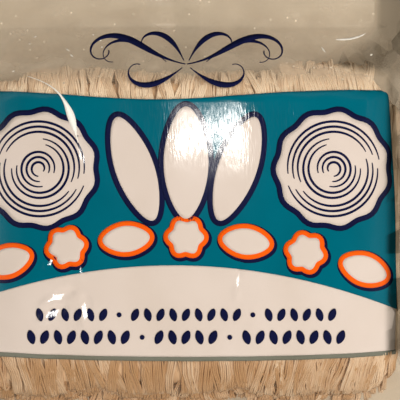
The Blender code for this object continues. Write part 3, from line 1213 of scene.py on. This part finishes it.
@dataclass(frozen=True)
class Strands:
    """Many strands as columns of numbers, one row to a strand.

    A strand runs along the bag at (x, z) in the section. At each tip it turns round in a half ellipse towards
    (in_x, in_z), half is half the height of that turn, and then runs back for the length of its tail. The
    strands of one ribbon lie side by side and share its seed.
    """

    x: Array
    z: Array
    in_x: Array
    in_z: Array
    half: Array
    header: Array
    foot: Array
    ribbon: Array
    own: Array

    @property
    def shade(self) -> Array:
        """Returns each strand's shade: its ribbon's, varied a little by its own."""
        ribbon = 0.5 + 0.3 * np.sin(40.0 * self.ribbon)
        return np.clip(ribbon + 0.24 * (self.own - 0.5), 0.0, 1.0)

    def chosen(self, pick: Array) -> "Strands":
        """Returns the strands that pick is true for."""
        return Strands(*(getattr(self, name)[pick] for name in self.__dataclass_fields__))


@dataclass
class NoodleBlock:
    """The folded vermicelli: ribbons of strands that turn inwards at their tips, over a grooved core."""

    shape: BlockShape
    finish: DryNoodle
    core_finish: DryNoodle
    radius: float = 0.5 * MM
    pitch: float = 0.80 * MM
    turn_points: int = 6
    sides: int = 5
    seed: int = 41

    def __post_init__(self) -> None:
        """Starts the random numbers, which are the same in every run."""
        self.random = np.random.default_rng(self.seed)

    def ribbons(self, length: float, cover: float) -> tuple[Array, Array]:
        """Lays ribbons of two to six strands side by side along a row.

        Args:
            length: the row's length.
            cover: the share of ribbons that are there.

        Returns:
            Each strand's place along the row, and its ribbon's seed.
        """
        places, seeds, place = [], [], 0.0
        while place < length:
            count = int(self.random.integers(2, 7))
            if self.random.random() < cover:
                places.append(place + self.pitch * (np.arange(count) + 0.5))
                seeds.append(np.full(count, self.random.random()))
            place += self.pitch * count
        return np.concatenate(places)[:, None], np.concatenate(seeds)[:, None]

    def wander(self, strands: Strands, v: Array) -> tuple[Array, Array]:
        """Works out how far each strand strays from its line, along the ring and inwards.

        Sines of v are added up: long ones that neighbours share, shorter ones for each ribbon, and fine ones
        for each strand. Past 44 mm from the middle each ribbon also leans over evenly.

        Args:
            strands: the strands.
            v: places along the bag, one row to a strand.

        Returns:
            The strays along the ring and inwards.
        """
        ribbon, own = strands.ribbon, strands.own
        place = strands.x - strands.z
        common = 1.3 * np.sin(math.tau * v / (118 * MM) + place / (24 * MM))
        common = common + 0.6 * np.sin(math.tau * v / (57 * MM) + place / (13 * MM) + 1.0)
        each = 0.42 * np.sin(math.tau * v / (49 * MM) + math.tau * number_from(ribbon, 1.0))
        each = each + 0.26 * np.sin(math.tau * v / (23 * MM) + math.tau * number_from(ribbon, 2.0))
        fine = 0.06 * np.sin(math.tau * v / (17 * MM) + math.tau * own)
        fine = fine + 0.08 * np.sin(math.tau * v / (31 * MM) + math.tau * number_from(own, 1.0))
        lean = (number_from(ribbon, 3.0) + number_from(ribbon, 4.0) - 1.0) * 0.24
        lean = lean + ((number_from(ribbon, 5.0) - 0.5) * 0.40 + 0.08) * (v > 0.0)
        past = np.maximum(np.abs(v) - 44.0 * MM, 0.0)
        bend = 0.8 * MM * np.sin(math.tau * number_from(ribbon, 12.0) + past / (4.5 * MM)) * ease(past / (10.0 * MM))
        along = (common + each + fine) * MM + (lean + 0.02 * (own - 0.5)) * past + bend
        sink = 0.35 * np.sin(math.tau * v / (66 * MM) + math.tau * number_from(ribbon, 6.0))
        level = 0.7 * (number_from(ribbon, 7.0) - 0.2)
        inwards = (sink + level + 0.12 * np.sin(math.tau * (v / (21 * MM) + own))) * MM
        return along, inwards

    def lines(self, strands: Strands, tail: float, legs: int) -> tuple[Array, Array]:
        """Works out the strands' centre lines.

        Args:
            strands: the strands.
            tail: how far a strand runs back inside after its turn.
            legs: how many points the run from tip to tip has, or 0 for strands that only turn at the header
                end, whose two legs are as long as the tail.

        Returns:
            The centre lines, strand by point by coordinate, and for each strand a direction across its turns.
        """
        half = strands.half
        long = 1.15 * half
        turn = math.pi * (np.arange(self.turn_points) + 0.5)[None, :] / self.turn_points
        ends = np.array([[1.0, 0.5]])
        header, foot = strands.header - long, strands.foot + long
        if legs:
            share = np.linspace(0.0, 1.0, legs)[None, :]
            v = [foot + tail * ends, foot - long * np.sin(turn), foot + (header - foot) * share]
            depth = [2.0 * half + 0.0 * ends, half * (1.0 + np.cos(turn)), 0.0 * half + 0.0 * share]
        else:
            v, depth = [header - tail * ends], [0.0 * half + 0.0 * ends]
        v += [header + long * np.sin(turn), header - tail * ends[:, ::-1]]
        depth += [half * (1.0 - np.cos(turn)), 2.0 * half + 0.0 * ends]
        v, depth = np.concatenate(v, axis=1), np.concatenate(depth, axis=1)
        along, inwards = self.wander(strands, v)
        x = strands.x + strands.in_x * (depth + inwards) + strands.in_z * along
        z = strands.z + strands.in_z * (depth + inwards) - strands.in_x * along
        x, z = self.shape.seat(x, z, v)
        across = np.concatenate([strands.in_z, 0.0 * half, -strands.in_x], axis=1)[:, None, :]
        return np.stack([x, v + self.shape.bag.centre_y, z], axis=-1), across

    def tubes(self, lines: Array, across: Array, shade: Array, weave: Weave) -> None:
        """Carries a round section along centre lines and closes both ends.

        At each point the tangent is the difference of its neighbours, the first side is the cross product of
        across and tangent, and the second the cross product of tangent and the first.

        Args:
            lines: centre lines, strand by point by coordinate.
            across: a direction for each strand that its tangents never run along.
            shade: the strands' shades.
            weave: the mesh that the tubes go into.
        """
        strands, count, _ = lines.shape
        tangent = np.gradient(lines, axis=1)
        tangent /= np.linalg.norm(tangent, axis=-1, keepdims=True)
        first = np.cross(np.broadcast_to(across, tangent.shape), tangent)
        first /= np.linalg.norm(first, axis=-1, keepdims=True)
        second = np.cross(tangent, first)
        angle = math.tau * np.arange(self.sides) / self.sides
        ring = np.cos(angle)[:, None] * first[:, :, None, :] + np.sin(angle)[:, None] * second[:, :, None, :]
        thick = self.radius * (1.0 + 0.14 * np.sin(5.0 * lines[:, :, 1] / (9.0 * MM) + 60.0 * shade))
        points = lines[:, :, None, :] + thick[:, :, None, None] * ring
        base = (np.arange(strands) * count * self.sides)[:, None, None]
        cap = np.arange(self.sides)[None, None, :]
        groups = [
            (base + grid_faces(count, self.sides, wrap=True)[None]).reshape(-1, 4),
            (base + cap[:, :, ::-1]).reshape(-1, self.sides),
            (base + cap + (count - 1) * self.sides).reshape(-1, self.sides),
        ]
        x, v = lines[:, :, 0], lines[:, :, 1] - self.shape.bag.centre_y
        # painted light and shade: strands paler towards +x, where more light falls, and browner towards the foot, where
        # less does
        tone = shade - 0.30 * ease(x / (80.0 * MM)) + 0.85 * ease((-47.0 * MM - v) / (7.0 * MM))
        weave.add(points.reshape(-1, 3), groups, np.repeat(tone.ravel(), self.sides))

    def shell(self, depth: float, cover: float) -> Strands:
        """Lays long strands side by side round the section at one depth.

        Args:
            depth: how far under the block's surface.
            cover: the share of ribbons that are there.

        Returns:
            The strands.
        """
        ring_x, ring_z, in_x, in_z = self.shape.ring()
        arc = np.concatenate([[0.0], np.cumsum(np.hypot(np.diff(ring_x), np.diff(ring_z)))])
        place, ribbon = self.ribbons(arc[-1], cover)
        own = self.random.random(place.shape)
        x, z, nx, nz = (np.interp(place, arc, values) for values in (ring_x, ring_z, in_x, in_z))
        x, z = x + depth * nx, z + depth * nz
        half = (2.2 + 2.6 * number_from(ribbon, 8.0)) * MM
        ragged = (4.0 * number_from(ribbon, 9.0) ** 2 + 0.9 * own**2) * MM
        header = self.shape.header_tips(x) - ragged
        foot = 0.3 * ragged - self.shape.foot_tips(x, z)
        return Strands(x, z, nx, nz, half, header, foot, ribbon, own)

    def build_long(self) -> None:
        """Builds the strands that run from end to end, split by where they lie."""
        material = self.finish.make()
        pieces = {"noodles_front": Weave(), "noodles_back": Weave(), "noodles_sides": Weave()}
        for depth, cover in ((0.1 * MM, 1.0), (1.0 * MM, 1.0)):
            strands = self.shell(depth, cover)
            at_side = np.abs(strands.x[:, 0]) > 80.0 * MM
            front = ~at_side & (strands.z[:, 0] > self.shape.bag.side_height)
            back = ~at_side & ~front & (depth < 0.5 * MM)
            for name, pick, legs in zip(pieces, (front, back, at_side), (24, 14, 18)):
                if not pick.any():
                    continue
                part = strands.chosen(pick)
                self.tubes(*self.lines(part, 9.0 * MM, legs), part.shade, pieces[name])
        for name, weave in pieces.items():
            weave.build(name, material, "noodles")

    def build_folds(self) -> None:
        """Builds the folds that fill both ends of the block: rows of ribbons that turn downwards."""
        bag = self.shape.bag
        for name, side in (("noodles_header_folds", 1.0), ("noodles_foot_folds", -1.0)):
            weave = Weave()
            for level in np.linspace(bag.height - 4.0 * MM, 11.0 * MM, 6):
                width = bag.block_half_width - 5.0 * MM
                place, ribbon = self.ribbons(2.0 * width, 0.93)
                own = self.random.random(place.shape)
                x = place - width
                z = level + 3.0 * MM * (number_from(ribbon, 8.0) - 0.5)
                tilt = 0.5 * (number_from(ribbon, 9.0) - 0.5)
                half = (2.6 + 1.8 * number_from(ribbon, 10.0)) * MM
                reach = self.shape.header_tips(x) if side > 0.0 else self.shape.foot_tips(x, z - half)
                header = reach - (3.6 * number_from(ribbon, 11.0) ** 2 + own**2 - 0.6) * MM
                part = Strands(x, z, np.sin(tilt), -np.cos(tilt), half, header, 0.0 * x, ribbon, own)
                lines, across = self.lines(part, 20.0 * MM, 0)
                if side < 0.0:
                    middle = 2.0 * bag.centre_y
                    lines, across = lines * (1.0, -1.0, 1.0) + (0.0, middle, 0.0), across
                self.tubes(lines, across, part.shade, weave)
            weave.build(name, bpy.data.materials[self.finish.name], "noodles")

    def build_core(self) -> None:
        """Builds the core: the block's section set in, with grooves along it, closed by shrinking rings.

        The grooves are a cosine round the section whose phase wanders along the block. Towards its ends the
        core shrinks along a quarter circle.
        """
        ring_x, ring_z, in_x, in_z = self.shape.ring(440)
        ring_x, ring_z, in_x, in_z = (a[None, :] for a in (ring_x, ring_z, in_x, in_z))
        share = np.linspace(-1.0, 1.0, 53)[:, None]
        reach = 59.0 * MM - 8.0 * MM * ease((ring_x - 66.0 * MM) / (8.0 * MM))
        v = np.where(share > 0.0, reach, 66.0 * MM) * share
        around = np.arange(ring_x.size)[None, :] / ring_x.size
        groove = np.cos(math.tau * 110.0 * around + 3.0 * np.sin(7.0 * share) + 2.0 * np.sin(math.tau * 9.0 * around))
        depth = 2.3 * MM + 0.4 * MM * groove + 0.5 * MM * np.sin(math.tau * 23.0 * around + 5.0 * share)
        end = np.clip((np.abs(share) - 0.93) / 0.07, 0.0, 1.0)
        depth = depth + 7.0 * MM * (1.0 - np.sqrt(1.0 - 0.999 * end**2))
        x, z = self.shape.seat(ring_x + depth * in_x, ring_z + depth * in_z, v)
        points = np.stack([x, np.broadcast_to(v, x.shape) + self.shape.bag.centre_y, z], axis=-1)
        middle = np.array([0.0, 0.0, self.shape.bag.side_height])
        shrink = np.array([0.06, 0.25, 0.5, 0.75])[:, None, None]
        caps = []
        for row in (points[0], points[-1]):
            centre = middle * (0.0, 0.0, 1.0) + row.mean(axis=0) * (1.0, 1.0, 0.0)
            caps.append(centre + (row - centre) * shrink)
        points = np.concatenate([caps[0], points, caps[1][::-1]])
        rows, columns, _ = points.shape
        centres = points[[0, -1]].mean(axis=1)
        step = np.arange(columns)
        after = (step + 1) % columns
        total = rows * columns
        low = np.stack([after, step, np.full(columns, total)], axis=-1)
        high = np.stack([step + total - columns, after + total - columns, np.full(columns, total + 1)], axis=-1)
        weave = Weave()
        weave.add(np.concatenate([points.reshape(-1, 3), centres]), [grid_faces(rows, columns, wrap=True), low, high])
        weave.build("noodle_core", self.core_finish.make(), "noodles")

    def build(self) -> None:
        """Builds the core and all strands."""
        self.build_core()
        self.build_long()
        self.build_folds()


# ---------------------------------------------------------------- studio


@dataclass
class Studio:
    """A plain floor, a soft panel of light off to the right, one small lamp above, and the camera."""

    shape: BagShape
    floor_size: float = 3.0
    view_centre: tuple[float, float] = (5.6 * MM, 7.0 * MM)
    view_width: float = 160.0 * MM
    view_height: float = 0.50

    def build_floor(self) -> None:
        """Builds the floor, a plane just under the bag."""
        half = self.floor_size / 2.0
        mesh = bpy.data.meshes.new("floor")
        corners = [(-half, -half, 0.0), (half, -half, 0.0), (half, half, 0.0), (-half, half, 0.0)]
        mesh.from_pydata([(x, y, -0.05 * MM) for x, y, _ in corners], [], [(0, 1, 2, 3)])
        mesh.materials.append(StudioFloor().make())
        floor = bpy.data.objects.new("floor", mesh)
        bpy.context.scene.collection.objects.link(floor)

    def lamp(
        self, name: str, place: tuple, across: float, along: float, radiance: float, tone: tuple, mirrored: bool = True
    ) -> None:
        """Hangs an oval lamp that shines straight down.

        Args:
            name: the lamp's name.
            place: where its middle is.
            across: its size along x.
            along: its size along y.
            radiance: how bright its face is.
            tone: its colour.
            mirrored: whether glossy things show it.
        """
        light = bpy.data.lights.new(name, "AREA")
        light.shape = "ELLIPSE"
        light.size, light.size_y = across, along
        light.energy = radiance * math.pi * math.pi / 4.0 * across * along
        light.color = tone
        lamp = bpy.data.objects.new(name, light)
        lamp.location = place
        lamp.visible_glossy = mirrored
        bpy.context.scene.collection.objects.link(lamp)

    def build_lights(self) -> None:
        """Builds a small lamp, a large soft panel that glossy things don't show, and the surroundings.

        The surroundings are dim overhead, bright in a broad ring half-way up, and dimmer towards the floor
        and the right: a light tent with a dark opening for the camera.
        """
        tone = (1.0, 0.97, 0.92)
        self.lamp("lamp", self.shape.lamp, 0.068, 0.036, 75.0, tone)
        self.lamp("soft_panel", (0.50, -0.10, 1.0), 1.1, 1.3, 3.9, tone, mirrored=False)
        world = bpy.data.worlds.new("surroundings")
        world.use_nodes = True
        tree = world.node_tree
        direction = tree.nodes.new("ShaderNodeTexCoord")
        parts = tree.nodes.new("ShaderNodeSeparateXYZ")
        ramp = tree.nodes.new("ShaderNodeValToRGB")
        away = tree.nodes.new("ShaderNodeVectorMath")
        away.operation = "DOT_PRODUCT"
        away.inputs[1].default_value = (0.75, 0.66, 0.0)
        right = tree.nodes.new("ShaderNodeMapRange")
        strength = tree.nodes.new("ShaderNodeMath")
        strength.operation = "MULTIPLY"
        strength.inputs[1].default_value = 0.65
        right.inputs["From Min"].default_value, right.inputs["From Max"].default_value = -0.1, 0.75
        right.inputs["To Min"].default_value, right.inputs["To Max"].default_value = 1.0, 0.12
        tree.links.new(direction.outputs["Generated"], parts.inputs[0])
        tree.links.new(parts.outputs["Z"], ramp.inputs["Fac"])
        tree.links.new(direction.outputs["Generated"], away.inputs[0])
        tree.links.new(away.outputs["Value"], right.inputs["Value"])
        tree.links.new(right.outputs["Result"], strength.inputs[0])
        tree.links.new(ramp.outputs["Color"], tree.nodes["Background"].inputs["Color"])
        tree.links.new(strength.outputs[0], tree.nodes["Background"].inputs["Strength"])
        stops = ((0.0, 0.15), (0.36, 0.28), (0.52, 1.0), (0.80, 1.05), (0.90, 0.22), (0.965, 0.012))
        curve = ramp.color_ramp
        curve.interpolation = "EASE"
        while len(curve.elements) < len(stops):
            curve.elements.new(1.0)
        for element, (place, value) in zip(curve.elements, stops):
            element.position = place
            element.color = (value, value * 0.955, value * 0.89, 1.0)
        bpy.context.scene.world = world

    def build_camera(self) -> None:
        """Sets the camera straight above the front, so that view_width fills the frame there."""
        camera = bpy.data.cameras.new("camera")
        camera.sensor_width = 36.0
        camera.lens = camera.sensor_width * self.view_height / self.view_width
        camera.clip_start = 0.01
        eye = bpy.data.objects.new("camera", camera)
        eye.location = (*self.view_centre, self.shape.height + self.view_height)
        bpy.context.scene.collection.objects.link(eye)
        bpy.context.scene.camera = eye

    def build(self) -> None:
        """Builds the studio and sets a plain display curve."""
        self.build_floor()
        self.build_lights()
        self.build_camera()
        bpy.context.scene.view_settings.view_transform = "Standard"


def main() -> None:
    """Builds the bag from its print inwards, and the studio round it."""
    logging.basicConfig(level=logging.INFO, format="%(name)s %(message)s")
    low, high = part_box(NODE)
    centre_y = BagShape.centre_y
    shape = BagShape(
        flat_half_width=(high.x - low.x) / 2.0,
        height=high.z,
        header_end=high.y - centre_y,
        foot_end=centre_y - low.y,
    )
    Studio(shape).build()
    welded = ClearFilm("welded_film", tint=(0.998, 0.996, 0.99, 1.0), facing_mirror=0.008)
    Film(shape, ClearFilm(), welded).build()
    PrintedFront(
        shape,
        teal=Ink("ink_teal", colour(0, 108, 129), colour(0, 99, 118)),
        cream=Ink("ink_cream", colour(227, 214, 206), colour(220, 206, 196)),
        navy=Ink("ink_navy", colour(24, 28, 66), colour(18, 22, 58)),
        orange=Ink("ink_orange", colour(255, 104, 22), colour(250, 96, 18)),
        border=Ink("ink_border", colour(122, 124, 112), colour(112, 112, 98)),
        # painted highlight: the white of the strokes that stand in for glints on the film
        white=Ink("film_white", colour(255, 251, 242), colour(248, 240, 226), roughness=0.12, gloss=0.5),
    ).build()
    NoodleBlock(
        BlockShape(shape),
        DryNoodle("dry_noodle", colour(250, 226, 196), colour(192, 150, 108)),
        # the core stands for the inner noodles; its colours, darker and browner than the strands', also paint shade
        # into the gaps between ribbons
        DryNoodle("noodle_core", colour(236, 200, 160), colour(206, 162, 120), 0.7),
    ).build()


if __name__ == "__main__":
    main()
